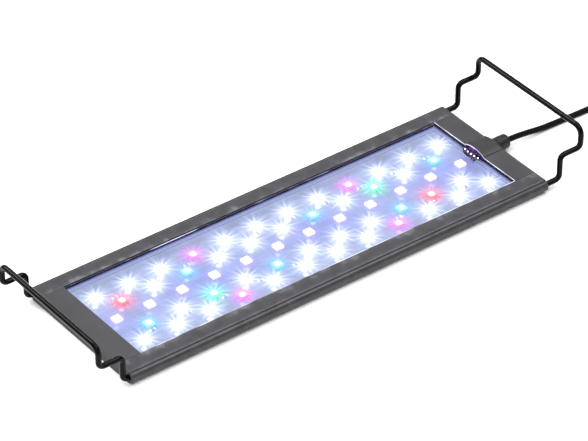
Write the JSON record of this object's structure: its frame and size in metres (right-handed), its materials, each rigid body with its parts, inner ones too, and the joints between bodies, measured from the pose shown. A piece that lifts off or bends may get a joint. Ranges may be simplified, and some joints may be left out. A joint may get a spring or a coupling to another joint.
{
  "type": "led aquarium light",
  "caption": "Slim rectangular LED aquarium light with a recessed clear cover, a coiled power lead and two sliding double-step wire legs.",
  "frame": {"origin": "middle of the flat back face, on which the light lies with its LEDs up; in use the light is turned over and its legs stand on the tank's rim", "axes": "+X along the light towards the end where the power lead leaves, +Y across it, +Z out of the back face towards the side that shines"},
  "size_m": [0.4304, 0.1431, 0.0341],
  "materials": {
    "grey_aluminium": "satin dark grey anodised",
    "grey_plastic": "satin dark grey",
    "steel_screw": "plain steel",
    "black_plastic": "matte black",
    "thermal_pad": "matte grey",
    "white_board": "gloss white solder mask",
    "resistor": "black ceramic",
    "clear_cover": "clear",
    "seal_rubber": "matte",
    "black_rubber": "satin black",
    "red_insulation": "satin",
    "nickel": "bright nickel plate",
    "black_wire": "gloss black coating",
    "white_led": "white package",
    "magenta_led": "white package",
    "red_led": "white package",
    "cyan_led": "white package",
    "green_led": "white package",
    "moonlight_led": "white package"
  },
  "bodies": {
    "housing": {"back_panel": "grey_aluminium", "cable_coil": "black_rubber", "cable_lead": "black_rubber", "cable_tail": "black_rubber", "chip_resistors": "resistor", "coil_tie": "black_plastic", "cover_sheet": "clear_cover", "cyan_leds": "cyan_led", "far_rail": "grey_aluminium", "gland_cover": "grey_plastic", "green_leds": "green_led", "led_board": "white_board", "left_cap_screws": "steel_screw", "left_cover_seal": "seal_rubber", "left_end_cap": "grey_plastic", "left_rod_bushes": "black_plastic", "magenta_leds": "magenta_led", "moonlight_leds": "moonlight_led", "near_rail": "grey_aluminium", "negative_lead": "black_rubber", "plug_barrel": "nickel", "plug_contact": "nickel", "plug_grip": "black_plastic", "plug_liner": "black_plastic", "positive_lead": "red_insulation", "red_leds": "red_led", "right_cap_screws": "steel_screw", "right_cover_seal": "seal_rubber", "right_end_cap": "grey_plastic", "right_rod_bushes": "black_plastic", "strain_relief": "black_rubber", "thermal_pad": "thermal_pad", "white_leds": "white_led"},
    "left_leg": {"left_leg_wire": "black_wire", "left_leg_stops": "black_plastic"},
    "right_leg": {"right_leg_wire": "black_wire", "right_leg_stops": "black_plastic"}
  },
  "joints": [
    {"name": "left_leg_slide", "type": "slide", "parent": "housing", "child": "left_leg", "axis": [-1, 0, 0], "range_m": [0, 0.075]},
    {"name": "right_leg_slide", "type": "slide", "parent": "housing", "child": "right_leg", "axis": [1, 0, 0], "range_m": [-0.007, 0.068]}
  ]
}
